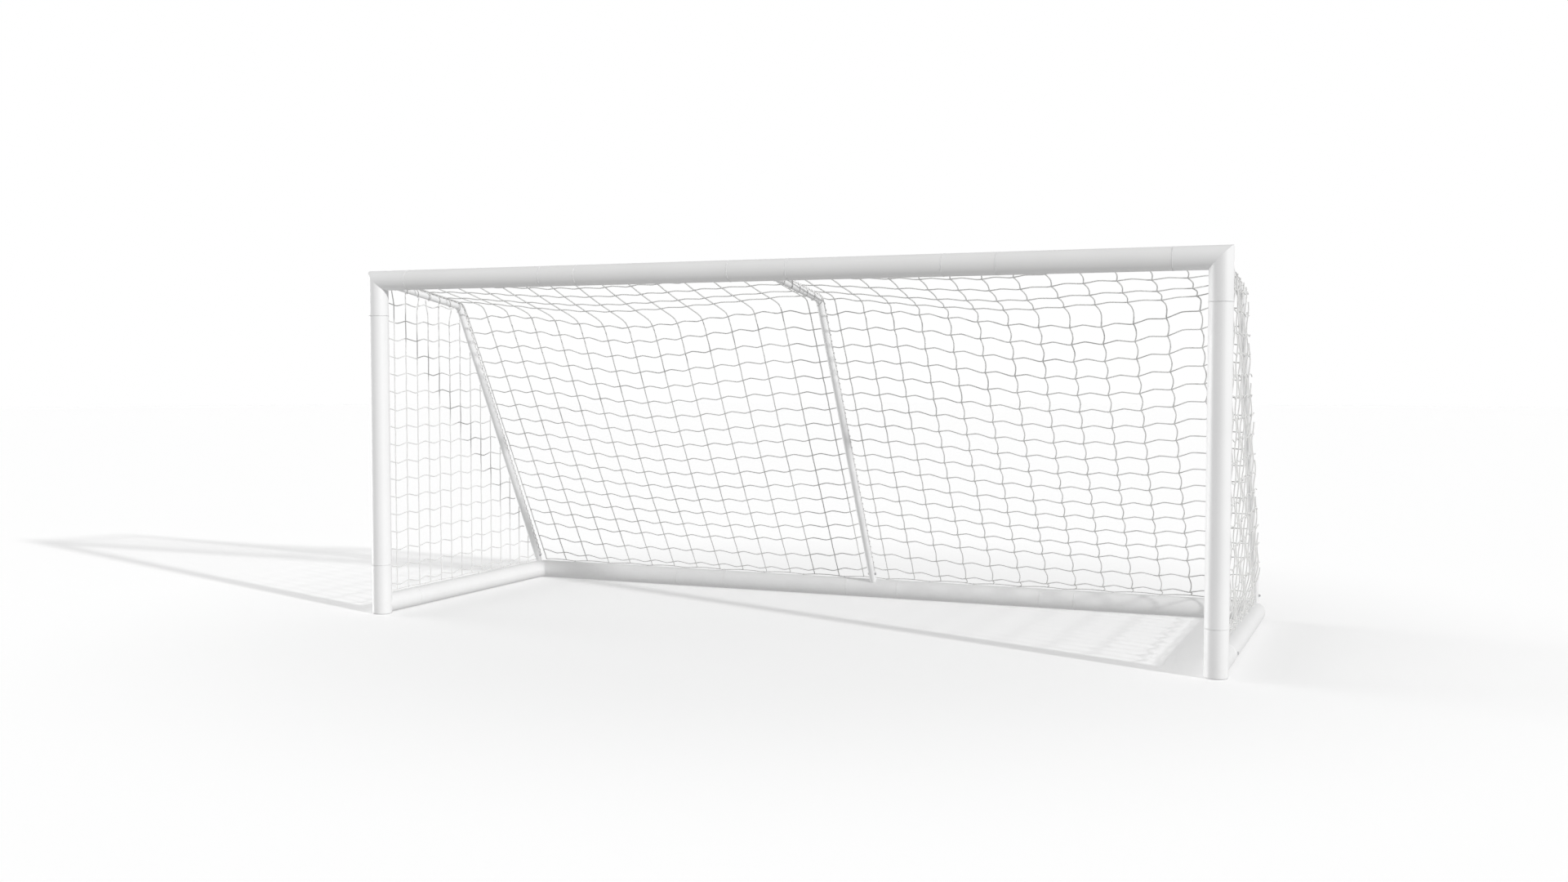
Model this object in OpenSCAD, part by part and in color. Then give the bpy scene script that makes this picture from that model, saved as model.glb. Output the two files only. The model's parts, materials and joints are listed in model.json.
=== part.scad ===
// Soccer goal with round frame tubes, bent net supports and a net.
// +X runs along the crossbar, +Y from the mouth to the back, +Z up; the origin is on the ground
// under the middle of the frame. All sizes are in millimetres.

/* [Goal] */
// Clear width of the mouth, between the posts
mouth_w = 4910; // [4800:10:5100]
// Clear height of the mouth, from the ground to the crossbar
mouth_h = 2000; // [1950:10:2100]
// Depth on the ground, from the posts' axis to the rear bar's axis
base_depth = 1835; // [1750:5:1950]

/* [Frame tube] */
// Outside diameter of the posts, crossbar and ground bars
tube_d = 120; // [116:1:124]
// Wall of the frame tubes
tube_wall = 3; // [2.5:0.5:3.5]
// Centreline radius of the two rear corners on the ground
rear_bend_r = 66; // [66:1:90]
// Length of a spigot inside the tube that it joins
spigot_len = 120; // [100:5:140]

/* [Corners] */
// Length of a top corner's arm along the crossbar, from the post's axis
top_arm_x = 230; // [200:5:260]
// Length of a top corner's arm down the post, from the crossbar's axis
top_arm_z = 215; // [190:5:250]
// Height of the left foot corner
left_foot_h = 305; // [290:5:340]
// Height of the right foot corner
right_foot_h = 245; // [240:5:340]
// Length of a foot corner's arm along the ground bar, from the post's axis
foot_arm = 320; // [300:5:360]

/* [Net supports] */
// Outside diameter of the three bent net supports
support_d = 42; // [38:1:46]
// Distance from the posts' axis back to the supports' knee
knee_back = 840; // [780:10:900]
// Drop from the crossbar's axis to the knee
knee_drop = 124; // [100:2:140]
// Centreline radius of the knee
knee_r = 80; // [60:5:100]
// Place of the middle support along the crossbar
mid_support_x = 75; // [60:5:90]

/* [Net] */
// How far the net hangs below the knees, halfway between two supports
net_sag = 134; // [100:2:150]
// Thickness of the net panels
net_t = 3; // [2:0.5:4]
// Diameter of the lacing cords
cord_d = 5; // [4:0.5:5]
// Turns of a lacing cord round the top stretch of its support
lacing_turns = 6; // [5:1:7]

/* [Hidden] */
$fn = 96;
eps = 0.05;                    // gap between faces that rest on each other
tube_r = tube_d / 2;
bore_r = tube_r - tube_wall;
spigot_r = bore_r - 0.1;
spigot_bore_r = spigot_r - 3;
spigot_root = 40;              // length of a spigot's thicker root inside its own piece
seam_gap = 1;
chamfer = 2;
foot_round = 8;

post_x = mouth_w / 2 + tube_r;
top_z = mouth_h + tube_r;
bar_z = tube_r;
button_out = 3;                // how far a snap button stands out of its tube
front_y = -(base_depth + button_out) / 2;
rear_y = front_y + base_depth;

// Flush bands of the couplings: [centre, length] from left to right
crossbar_bands = [[-1215, 240], [55, 350], [1255, 290]];
rear_bands = [[-1195, 370], [70, 360], [1310, 220]];
crossbar_seams = concat([-post_x + top_arm_x], band_ends(crossbar_bands), [post_x - top_arm_x]);
rear_seams = band_ends(rear_bands);
function band_ends(bands) = [for (b = bands) each [b[0] - b[1] / 2, b[0] + b[1] / 2]];

// Screws, rivets and snap buttons sit over the middle of a spigot: this far from the end of
// the tube that it joins, and this far past the middle of the seam
fastener_inset = spigot_len / 2;
fastener_past = fastener_inset + seam_gap / 2;
shank_r = 4;
tight_hole_r = shank_r + 0.05;
loose_hole_r = shank_r + 0.2;

// Snap buttons: heights are measured from the tube's axis
button_r = 6;
button_flange_r = 8;
button_flange_z = spigot_bore_r - 2.9;
button_hole_r = button_r + 0.05;
button_tube_hole_r = button_r + 0.3;
cup_r = 11;
cup_wall = 1.8;
cup_base_z = button_flange_z - 15;
cup_rim_z = spigot_bore_r - 1.3;
spring_r = 5.5;
spring_wire_r = 0.6;
spring_turns = 4.5;
spring_steps = 12;             // rings in one turn

// Net supports: the slopes of their two stretches, in degrees below level
support_r = support_d / 2;
support_bore_r = support_r - 2;
peg_r = support_bore_r - 0.2;
peg_reach = tube_r + 90;
roof_slope = atan2(knee_drop, knee_back);
back_run = base_depth - knee_back;
back_drop = top_z - knee_drop - bar_z;
back_slope = atan2(back_drop, back_run);
knee_turn = back_slope - roof_slope;
knee_tangent = knee_r * tan(knee_turn / 2);
roof_len = norm([knee_back, knee_drop]) - knee_tangent;
back_len = norm([back_run, back_drop]) - knee_tangent;
support_bolt_from_top = tube_r + 45;
support_bolt_from_bar = tube_r + 55;
weld_h = 0.3;                  // height of a weld's bead
weld_len = 5;
support_xs = [-post_x, mid_support_x, post_x];

// Net: the panels lie this far outside the supports' axes, and keep this far from a tube's axis
net_off = support_r + 9;
net_edge = tube_r + 20;
net_steps = 13;                // steps of a sagging panel between two supports
lacing_r = support_r + 1 + cord_d / 2;
lacing_start = 145;
lacing_len = roof_len - lacing_start - 10;
lacing_steps = 12;             // rings in one turn
lacing_sides = 8;

clip_pitch = 300;
clip_base_r = 7;
clip_base_h = 4;
clip_hook_r = 5;
clip_wire_r = 2;

// ---- Placing ----

module along_x() rotate([0, 90, 0]) children();
module along_y() rotate([-90, 0, 0]) children();
module at_crossbar(x) translate([x, front_y, top_z]) children();
module at_rear_bar(x) translate([x, rear_y, bar_z]) children();

// Mirrors a left piece to the right for side = 1
module on_side(side) mirror([side < 0 ? 0 : 1, 0, 0]) children();

// A point and a direction on a support's first stretch, from the crossbar's axis
module on_roof_stretch(x, from) at_crossbar(x) rotate([-roof_slope, 0, 0])
    translate([0, from, 0]) children();

// The same on its second stretch, from the rear bar's axis upwards
module on_back_stretch(x, from) at_rear_bar(x) rotate([-back_slope, 0, 0])
    translate([0, -from, 0]) children();

// ---- Shared shapes ----

// A tube along +Z with chamfered ends
module pipe(len) rotate_extrude()
    polygon([[bore_r, 0], [tube_r - chamfer, 0], [tube_r, chamfer], [tube_r, len - chamfer],
        [tube_r - chamfer, len], [bore_r, len]]);

// A solid arm along +Z whose far end is chamfered
module arm(len) {
    cylinder(r = tube_r, h = len - chamfer);
    translate([0, 0, len - chamfer])
        cylinder(r1 = tube_r, r2 = tube_r - chamfer, h = chamfer);
}

// A solid spigot that reaches from inside an arm's end into the next tube
module spigot(end) translate([0, 0, end - spigot_root])
    cylinder(r = spigot_r, h = spigot_root + spigot_len);

// The hole down a spigot
module spigot_bore(end) translate([0, 0, end - spigot_root - 1])
    cylinder(r = spigot_bore_r, h = spigot_root + spigot_len + 2);

// A radial hole towards the back, from a tube's axis out through its wall
module back_hole(r) along_y() cylinder(r = r, h = tube_r + 5);

// The half space on the post's side of a left top corner's mitre
module post_side() rotate([0, 45, 0])
    translate([-500, -500, -1000])
        cube(1000);

// The half space on the crossbar's side
module crossbar_side() rotate([0, 45, 0])
    translate([-500, -500, 0])
        cube(1000);

// A left top corner as a solid of radius r, mitred at 45 degrees
module mitred(r, arm_x, arm_z) {
    difference() {
        translate([-2 * r, 0, 0]) along_x() cylinder(r = r, h = arm_x + 2 * r);
        post_side();
    }
    difference() {
        translate([0, 0, -arm_z]) cylinder(r = r, h = arm_z + 2 * r);
        crossbar_side();
    }
}

// ---- Crossbar and posts ----

module crossbar_tube(i) {
    from = crossbar_seams[2 * i] + seam_gap / 2;
    to = crossbar_seams[2 * i + 1] - seam_gap / 2;
    color("whitesmoke") at_crossbar(0) difference() {
        translate([from, 0, 0]) along_x() pipe(to - from);
        translate([from + fastener_inset, 0, 0])
            back_hole(i == 0 ? loose_hole_r : button_tube_hole_r);
        translate([to - fastener_inset, 0, 0]) back_hole(loose_hole_r);
    }
}

// A coupling: a flush band with a riveted spigot on its left and a snapped one on its right
module coupling(band) {
    half = band[1] / 2;
    color("whitesmoke") translate([band[0], 0, 0]) difference() {
        union() {
            along_x() arm(half);
            mirror([1, 0, 0]) along_x() arm(half);
            along_x() spigot(half);
            mirror([1, 0, 0]) along_x() spigot(half);
            children();
        }
        translate([-half - spigot_len - 1, 0, 0])
            along_x() cylinder(r = spigot_bore_r, h = 2 * (half + spigot_len + 1));
        translate([half + fastener_past, 0, 0]) back_hole(button_hole_r);
        translate([-half - fastener_past, 0, 0]) back_hole(tight_hole_r);
    }
}

// The peg that a support slides over at the crossbar, and at the rear bar
module roof_peg() rotate([-roof_slope, 0, 0]) along_y() peg();
module back_peg() rotate([-back_slope, 0, 0]) rotate([0, 0, 180]) along_y() peg();

module peg() difference() {
    cylinder(r = peg_r, h = peg_reach);
    translate([0, 0, tube_r + 12]) cylinder(r = peg_r - 3, h = peg_reach);
}

module roof_bolt_hole() rotate([-roof_slope, 0, 0])
    translate([-support_d, support_bolt_from_top, 0])
        along_x() cylinder(r = tight_hole_r, h = 2 * support_d);

module back_bolt_hole() rotate([-back_slope, 0, 0])
    translate([-support_d, -support_bolt_from_bar, 0])
        along_x() cylinder(r = tight_hole_r, h = 2 * support_d);

module crossbar_coupling(i) at_crossbar(0) coupling(crossbar_bands[i]);

module crossbar_coupling_with_peg() at_crossbar(0) difference() {
    coupling(crossbar_bands[1])
        translate([mid_support_x - crossbar_bands[1][0], 0, 0]) roof_peg();
    translate([mid_support_x, 0, 0]) roof_bolt_hole();
}

module top_corner(side) color("white") on_side(side) at_crossbar(-post_x) difference() {
    union() {
        mitred(tube_r, top_arm_x - chamfer, top_arm_z - chamfer);
        translate([tube_r * 2, 0, 0]) along_x() arm(top_arm_x - tube_r * 2);
        translate([0, 0, -tube_r * 2]) mirror([0, 0, 1]) arm(top_arm_z - tube_r * 2);
        along_x() spigot(top_arm_x);
        mirror([0, 0, 1]) spigot(top_arm_z);
        roof_peg();
    }
    mitred(bore_r, top_arm_x - spigot_root, top_arm_z - spigot_root);
    along_x() spigot_bore(top_arm_x);
    mirror([0, 0, 1]) spigot_bore(top_arm_z);
    translate([top_arm_x + fastener_past, 0, 0]) back_hole(tight_hole_r);
    translate([0, 0, -top_arm_z - fastener_past]) back_hole(tight_hole_r);
    roof_bolt_hole();
}

function foot_h(side) = side < 0 ? left_foot_h : right_foot_h;

module post(side) {
    from = foot_h(side) + seam_gap / 2;
    to = top_z - top_arm_z - seam_gap / 2;
    color("white") translate([side * post_x, front_y, 0]) difference() {
        translate([0, 0, from]) pipe(to - from);
        translate([0, 0, from + fastener_inset]) back_hole(loose_hole_r);
        translate([0, 0, to - fastener_inset]) back_hole(loose_hole_r);
    }
}

// ---- Feet and ground bars ----

module foot_corner(side) {
    h = foot_h(side);
    color("white") on_side(side) translate([-post_x, front_y, 0]) difference() {
        union() {
            rotate_extrude()
                polygon([[0, 0], for (a = [0 : 15 : 90]) [tube_r - foot_round * (1 - sin(a)),
                    foot_round * (1 - cos(a))], [tube_r, h - chamfer], [tube_r - chamfer, h],
                    [0, h]]);
            spigot(h);
            translate([0, 0, bar_z]) along_y() arm(foot_arm);
            translate([0, 0, bar_z]) along_y() spigot(foot_arm);
        }
        translate([0, 0, -1]) cylinder(r = bore_r, h = h - spigot_root + 1);
        spigot_bore(h);
        translate([0, 0, bar_z]) along_y() cylinder(r = bore_r, h = foot_arm - spigot_root);
        translate([0, 0, bar_z]) along_y() spigot_bore(foot_arm);
        translate([0, 0, h + fastener_past]) back_hole(tight_hole_r);
        translate([0, foot_arm + fastener_past, bar_z]) side_hole(tight_hole_r);
    }
}

// A radial hole towards the left
module side_hole(r) mirror([1, 0, 0]) along_x() cylinder(r = r, h = tube_r + 5);

module foot_plug(side) color("gainsboro") translate([side * post_x, front_y, 0])
    rotate_extrude()
        polygon([[0, 0], [bore_r - 1.5, 0], [bore_r - 0.1, 1.5], [bore_r - 0.1, 28],
            [bore_r - 4, 28], [bore_r - 4, 5], [0, 5]]);

// The left rail as a solid of radius r: along the side, round the corner, along the back
module rail_path(r, from, to) {
    translate([-post_x, from, bar_z]) along_y() cylinder(r = r, h = rear_y - rear_bend_r - from);
    translate([-post_x + rear_bend_r, rear_y - rear_bend_r, bar_z])
        rotate([0, 0, 90])
            rotate_extrude(angle = 90)
                translate([rear_bend_r, 0])
                    circle(r = r);
    at_rear_bar(-post_x + rear_bend_r) along_x()
        cylinder(r = r, h = to + post_x - rear_bend_r);
}

// Distance from the middle of the goal to the seam at the end of a rail's rear stretch
function rail_end(side) = side < 0 ? rear_seams[0] : -rear_seams[5];

// A rail's rear end takes a rivet on the left and a snap button on the right
module ground_rail(side) {
    from = front_y + foot_arm + seam_gap / 2;
    to = rail_end(side) - seam_gap / 2;
    color("white") on_side(side) difference() {
        union() {
            rail_path(tube_r, from + chamfer, to - chamfer);
            translate([-post_x, from + 10, bar_z]) rotate([90, 0, 0]) arm(10);
            at_rear_bar(to - 10) along_x() arm(10);
            at_rear_bar(-post_x) back_peg();
        }
        rail_path(bore_r, from - 1, to + 1);
        translate([-post_x, from + fastener_inset, bar_z]) side_hole(loose_hole_r);
        at_rear_bar(to - fastener_inset)
            back_hole(side < 0 ? loose_hole_r : button_tube_hole_r);
        at_rear_bar(-post_x) back_bolt_hole();
    }
}

module rear_tube(i) {
    from = rear_seams[2 * i + 1] + seam_gap / 2;
    to = rear_seams[2 * i + 2] - seam_gap / 2;
    color("white") at_rear_bar(0) difference() {
        translate([from, 0, 0]) along_x() pipe(to - from);
        translate([from + fastener_inset, 0, 0]) back_hole(button_tube_hole_r);
        translate([to - fastener_inset, 0, 0]) back_hole(loose_hole_r);
    }
}

module rear_coupling(i) at_rear_bar(0) coupling(rear_bands[i]);

module rear_coupling_with_peg() at_rear_bar(0) difference() {
    coupling(rear_bands[1])
        translate([mid_support_x - rear_bands[1][0], 0, 0]) back_peg();
    translate([mid_support_x, 0, 0]) back_bolt_hole();
}

// ---- Net supports ----

// A support as a solid of radius r, from the crossbar's axis to the rear bar's axis
module support_path(r, x) at_crossbar(x) rotate([-roof_slope, 0, 0]) {
    along_y() cylinder(r = r, h = roof_len);
    translate([0, roof_len, 0]) weld(r);
    translate([0, roof_len, -knee_r]) {
        rotate([0, -90, 0])
            rotate_extrude(angle = knee_turn)
                translate([knee_r, 0])
                    circle(r = r);
        rotate([-knee_turn, 0, 0]) translate([0, 0, knee_r]) {
            along_y() cylinder(r = r, h = back_len);
            weld(r);
        }
    }
}

// The bead round a weld between the knee's elbow and a straight stretch
module weld(r) along_y() cylinder(r = r + weld_h, h = weld_len, center = true);

module net_support(i) {
    x = support_xs[i];
    color("whitesmoke") difference() {
        support_path(support_r, x);
        support_path(support_bore_r, x);
        at_crossbar(x) roof_bolt_hole();
        at_rear_bar(x) back_bolt_hole();
        support_cope(i);
    }
}

// What a support's two ends are cut to fit round
module support_cope(i) {
    r = tube_r + 2 * eps;
    if (i == 1) {
        at_crossbar(mid_support_x - 50) along_x() cylinder(r = r, h = 100);
        at_rear_bar(mid_support_x - 50) along_x() cylinder(r = r, h = 100);
    } else on_side(i - 1) {
        at_crossbar(-post_x) {
            along_x() cylinder(r = r, h = 100, center = true);
            cylinder(r = r, h = 100, center = true);
        }
        rail_path(r, rear_y - rear_bend_r - 100, -post_x + rear_bend_r + 100);
    }
}

// ---- Fasteners ----

// A screw in a tube joint, along +Z from the tube's axis
module joint_screw() {
    translate([0, 0, spigot_bore_r - 6]) cylinder(r = shank_r, h = tube_r - spigot_bore_r + 7);
    translate([0, 0, tube_r + eps]) cylinder(r1 = 8, r2 = 6.5, h = 4);
}

// A blind rivet, along +Z from the tube's axis
module rivet() {
    translate([0, 0, spigot_bore_r - 4]) cylinder(r = 5.5, h = 3.6);
    translate([0, 0, spigot_bore_r - 1]) cylinder(r = shank_r, h = tube_r - spigot_bore_r + 2);
    translate([0, 0, tube_r + eps]) cylinder(r1 = 7, r2 = 5, h = 2.5);
}

module joint_screws() color("silver") for (side = [-1, 1]) {
    post_at = [side * post_x, front_y, 0];
    at_crossbar(side * (post_x - top_arm_x - fastener_past)) along_y() joint_screw();
    translate(post_at + [0, 0, top_z - top_arm_z - fastener_past]) along_y() joint_screw();
    translate(post_at + [0, 0, foot_h(side) + fastener_past]) along_y() joint_screw();
    translate(post_at + [0, foot_arm + fastener_past, bar_z])
        rotate([0, side * 90, 0]) joint_screw();
}

module coupling_rivets() color("silver") {
    for (b = crossbar_bands)
        at_crossbar(b[0] - b[1] / 2 - fastener_past) along_y() rivet();
    for (b = rear_bands)
        at_rear_bar(b[0] - b[1] / 2 - fastener_past) along_y() rivet();
}

module support_bolt() translate([-support_r - eps, 0, 0]) along_x() {
    translate([0, 0, -5]) cylinder(r1 = 6, r2 = 7.5, h = 5);
    translate([0, 0, -1]) cylinder(r = shank_r, h = support_d + 2 * eps + 11);
}

module support_nut() translate([support_r + eps, 0, 0]) along_x() difference() {
    cylinder(r = 7.5, h = 6.5, $fn = 6);
    translate([0, 0, -1]) cylinder(r = tight_hole_r, h = 9);
}

module at_support_bolts() for (x = support_xs) {
    on_roof_stretch(x, support_bolt_from_top) children();
    on_back_stretch(x, support_bolt_from_bar) children();
}

module support_bolts() color("silver") at_support_bolts() support_bolt();
module support_nuts() color("silver") at_support_bolts() support_nut();

// ---- Net clips ----

// A hook on a round base, along +Z from the tube's axis, that holds a cord lying along X
module clip() {
    translate([0, 0, tube_r + eps]) cylinder(r = clip_base_r, h = clip_base_h);
    translate([0, 0, tube_r + clip_base_h + clip_hook_r])
        rotate([90, 0, 90])
            rotate([0, 0, 255])
                rotate_extrude(angle = 300)
                    translate([clip_hook_r, 0])
                        circle(r = clip_wire_r, $fn = 24);
}

module net_clips() color("white") {
    for (x = [-7 : 7]) at_crossbar(x * clip_pitch) rotate([-60, 0, 0]) clip();
    for (x = [-7.5 : 7.5])
        at_rear_bar(x * clip_pitch) rotate([-30, 0, 0]) rotate([0, 0, 180]) clip();
    for (side = [-1, 1]) {
        for (k = [0 : 6])
            translate([side * post_x, front_y, 440 + 205 * k]) along_y() rotate([0, 0, 90]) clip();
        for (k = [0 : 4])
            translate([side * post_x, front_y + 440 + clip_pitch * k, bar_z])
                rotate([0, 0, 90]) clip();
    }
}

// ---- Snap buttons ----

// Places a child, made along +Z from a tube's axis, over the snapped spigot of coupling i
module at_button(i) {
    bands = i < 3 ? crossbar_bands : rear_bands;
    b = bands[i % 3];
    x = b[0] + b[1] / 2 + fastener_past;
    if (i < 3)
        at_crossbar(x) along_y() children();
    else
        at_rear_bar(x) along_y() children();
}

module snap_button(i) color("silver") at_button(i) rotate_extrude()
    polygon([[0, button_flange_z], [button_flange_r, button_flange_z],
        [button_flange_r, button_flange_z + 2], [button_r, button_flange_z + 2],
        [button_r, tube_r + button_out - 1.5], [button_r - 1.5, tube_r + button_out],
        [0, tube_r + button_out]]);

module button_cups() color("dimgray") for (i = [0 : 5]) at_button(i) rotate_extrude()
    polygon([[0, cup_base_z], [cup_r, cup_base_z], [cup_r, cup_rim_z],
        [cup_r - cup_wall, cup_rim_z], [cup_r - cup_wall, cup_base_z + 2], [0, cup_base_z + 2]]);

// ---- Swept shapes ----

// Closes a stack of rings, each a list of the same number of points, into one solid. The two
// halves of a ring are split along opposite diagonals, so that facing walls match
module skin(rings) {
    n = len(rings[0]);
    last = (len(rings) - 1) * n;
    points = [for (ring = rings) each ring];
    walls = [for (i = [0 : len(rings) - 2], k = [0 : n - 1])
        let (a = i * n + k, b = i * n + (k + 1) % n)
        each k < n / 2 ? [[a, b, b + n], [a, b + n, a + n]] : [[a, b, a + n], [b, b + n, a + n]]];
    ends = [[for (k = [n - 1 : -1 : 0]) k], [for (k = [0 : n - 1]) last + k]];
    polyhedron(points = points, faces = concat(ends, walls));
}

// A helix of round wire about +Z
module helix(r, wire_r, height, turns, steps, sides) {
    climb = atan2(height, 2 * PI * r * turns);
    skin([for (i = [0 : turns * steps])
        let (a = i * 360 / steps)
        [for (k = [0 : sides - 1])
            let (b = -k * 360 / sides,
                out = r + wire_r * cos(b),
                side = wire_r * sin(b))
            [out * cos(a) + side * sin(climb) * sin(a),
                out * sin(a) - side * sin(climb) * cos(a),
                i / (turns * steps) * height + side * cos(climb)]]]);
}

module button_spring(i) color("silver") at_button(i)
    translate([0, 0, cup_base_z + 2 + spring_wire_r + eps])
        helix(spring_r, spring_wire_r, button_flange_z - cup_base_z - 2 - 2 * (spring_wire_r + eps),
            spring_turns, spring_steps, 6);

module lacing(i) color("whitesmoke") on_roof_stretch(support_xs[i], lacing_start) along_y()
    helix(lacing_r, cord_d / 2, lacing_len, lacing_turns, lacing_steps, lacing_sides);

// ---- Net ----

// Points in the side view, [back from the posts' axis, height], where lines that run off
// to one side of the supports' axes meet: off is outwards for a plus sign
function roof_point(back, off) = [back, top_z - back * tan(roof_slope) + off / cos(roof_slope)];
function back_point(z, off) =
    [base_depth - (z - bar_z) / tan(back_slope) + off / sin(back_slope), z];
function knee_point(off) =
    let (back = (base_depth - (top_z + off / cos(roof_slope) - bar_z) / tan(back_slope)
        + off / sin(back_slope)) / (1 - tan(roof_slope) / tan(back_slope)))
    roof_point(back, off);

// 0 at a support and 1 halfway between two of them
function bay(x) =
    let (low = x < mid_support_x ? -post_x : mid_support_x,
        high = x < mid_support_x ? mid_support_x : post_x,
        t = (x - low) / (high - low))
    4 * t * (1 - t);

// Places along the crossbar of a sagging panel's sections: each bay is cut into equal steps
panel_xs = concat(
    [for (i = [0 : net_steps]) -post_x + (mid_support_x + post_x) * i / net_steps],
    [for (i = [1 : net_steps]) mid_support_x + (post_x - mid_support_x) * i / net_steps]);

// A point of a panel between a straight edge and the sagging knee line; v is 0 at the edge
// and 1 at the knee
function panel_point(x, v, edge, lift) =
    let (knee = knee_point(net_off) - [0, net_sag * bay(x)],
        p = edge + (knee - edge) * v + lift)
    [x, front_y + p[0], p[1]];

// A panel whose two faces lie this far out from the edge
module sagging_panel(edge, out, faces) skin([for (x = panel_xs)
    [panel_point(x, 0, edge, out * faces[0]), panel_point(x, 0.99, edge, out * faces[0]),
        panel_point(x, 0.99, edge, out * faces[1]), panel_point(x, 0, edge, out * faces[1])]]);

module net_roof() color("gainsboro")
    sagging_panel(roof_point(net_edge, net_off), [sin(roof_slope), cos(roof_slope)], [0, net_t]);

module net_back() color("gainsboro")
    sagging_panel(back_point(bar_z + net_edge, net_off), [sin(back_slope), cos(back_slope)],
        [net_t, 0]);

module net_side(side) {
    low = bar_z + net_edge;
    color("gainsboro") translate([side * post_x - net_t / 2, front_y, 0])
        rotate([90, 0, 90])
            linear_extrude(net_t)
                polygon([[net_edge, low], back_point(low, -net_off), knee_point(-net_off),
                    roof_point(net_edge, -net_off)]);
}

// ---- Nodes ----

crossbar_tube(0);  // crossbar_tube_outer_left
crossbar_tube(1);  // crossbar_tube_inner_left
crossbar_tube(2);  // crossbar_tube_inner_right
crossbar_tube(3);  // crossbar_tube_outer_right
crossbar_coupling(0);  // crossbar_coupling_left
crossbar_coupling_with_peg();  // crossbar_coupling_middle
crossbar_coupling(2);  // crossbar_coupling_right
top_corner(-1);  // top_corner_left
top_corner(1);  // top_corner_right
post(-1);  // post_left
post(1);  // post_right
foot_corner(-1);  // foot_corner_left
foot_corner(1);  // foot_corner_right
foot_plug(-1);  // foot_plug_left
foot_plug(1);  // foot_plug_right
ground_rail(-1);  // ground_rail_left
ground_rail(1);  // ground_rail_right
rear_tube(0);  // rear_tube_left
rear_tube(1);  // rear_tube_right
rear_coupling(0);  // rear_coupling_left
rear_coupling_with_peg();  // rear_coupling_middle
rear_coupling(2);  // rear_coupling_right
net_support(0);  // net_support_left
net_support(1);  // net_support_middle
net_support(2);  // net_support_right
joint_screws();
coupling_rivets();
support_bolts();
support_nuts();
net_clips();
button_cups();
snap_button(0);  // snap_button_crossbar_left
snap_button(1);  // snap_button_crossbar_middle
snap_button(2);  // snap_button_crossbar_right
snap_button(3);  // snap_button_rear_left
snap_button(4);  // snap_button_rear_middle
snap_button(5);  // snap_button_rear_right
button_spring(0);  // button_spring_crossbar_left
button_spring(1);  // button_spring_crossbar_middle
button_spring(2);  // button_spring_crossbar_right
button_spring(3);  // button_spring_rear_left
button_spring(4);  // button_spring_rear_middle
button_spring(5);  // button_spring_rear_right
net_roof();
net_back();
net_side(-1);  // net_side_left
net_side(1);  // net_side_right
lacing(0);  // lacing_left
lacing(1);  // lacing_middle
lacing(2);  // lacing_right
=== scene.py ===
"""Visual model of the soccer goal: coats the CAD frame and hangs a corded net on it.

Metres, in the CAD frame: +X along the crossbar, +Y from the mouth to the back, +Z up. A point of
the net is first found in the side view, as (back from the posts' axis, height)."""
import json
import math

import bpy
import numpy as np
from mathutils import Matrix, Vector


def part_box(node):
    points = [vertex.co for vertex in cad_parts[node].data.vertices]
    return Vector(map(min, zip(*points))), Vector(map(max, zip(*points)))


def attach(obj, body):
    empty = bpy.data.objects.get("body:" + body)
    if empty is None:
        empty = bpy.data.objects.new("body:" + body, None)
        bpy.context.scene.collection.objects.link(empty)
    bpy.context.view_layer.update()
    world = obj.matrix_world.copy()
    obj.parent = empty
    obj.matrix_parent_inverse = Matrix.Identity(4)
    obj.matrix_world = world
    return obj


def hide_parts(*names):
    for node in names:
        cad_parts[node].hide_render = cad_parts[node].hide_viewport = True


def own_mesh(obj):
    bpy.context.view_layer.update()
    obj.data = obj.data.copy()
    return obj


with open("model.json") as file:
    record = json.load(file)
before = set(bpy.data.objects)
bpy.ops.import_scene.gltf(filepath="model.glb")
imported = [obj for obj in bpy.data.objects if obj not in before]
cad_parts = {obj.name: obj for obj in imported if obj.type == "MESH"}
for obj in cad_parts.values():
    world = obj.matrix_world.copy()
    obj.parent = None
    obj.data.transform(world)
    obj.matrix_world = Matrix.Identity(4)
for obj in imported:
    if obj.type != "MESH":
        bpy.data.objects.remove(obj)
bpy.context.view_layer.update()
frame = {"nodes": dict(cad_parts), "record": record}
NODES = frame["nodes"]

# ---- Sizes ----


def middle_of(node):
    """The middle of a CAD node's box."""
    low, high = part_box(node)
    return (low + high) / 2


POST_X = middle_of("post_right").x
FRONT_Y = middle_of("post_right").y
REAR_Y = middle_of("rear_tube_left").y
TOP_Z = middle_of("crossbar_tube_inner_left").z
BAR_Z = middle_of("rear_tube_left").z
TUBE_R = 0.060
DEPTH = REAR_Y - FRONT_Y
MID_X = middle_of("net_support_middle").x

SEAM_GAP = 0.001
LIP_R = 0.0017           # the rolled edge on each side of a seam
LIP_OUT = 0.0011         # how far it stands out of the tube

# Net supports
SUPPORT_R = 0.021
KNEE_BACK = 0.840
KNEE_DROP = 0.124
KNEE_R = 0.080
ROOF_SLOPE = math.atan2(KNEE_DROP, KNEE_BACK)
BACK_SLOPE = math.atan2(TOP_Z - KNEE_DROP - BAR_Z, DEPTH - KNEE_BACK)

# Clips hold the net's border cords this far from a tube's axis
HOOK = 0.069
CLIP_PITCH = 0.300
CROSSBAR_CLIP_TILT = math.radians(60)   # from straight up, towards the back
REAR_CLIP_TILT = math.radians(30)
BORDER_SLACK = 0.010                    # how far the net pulls a border cord off between clips

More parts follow.
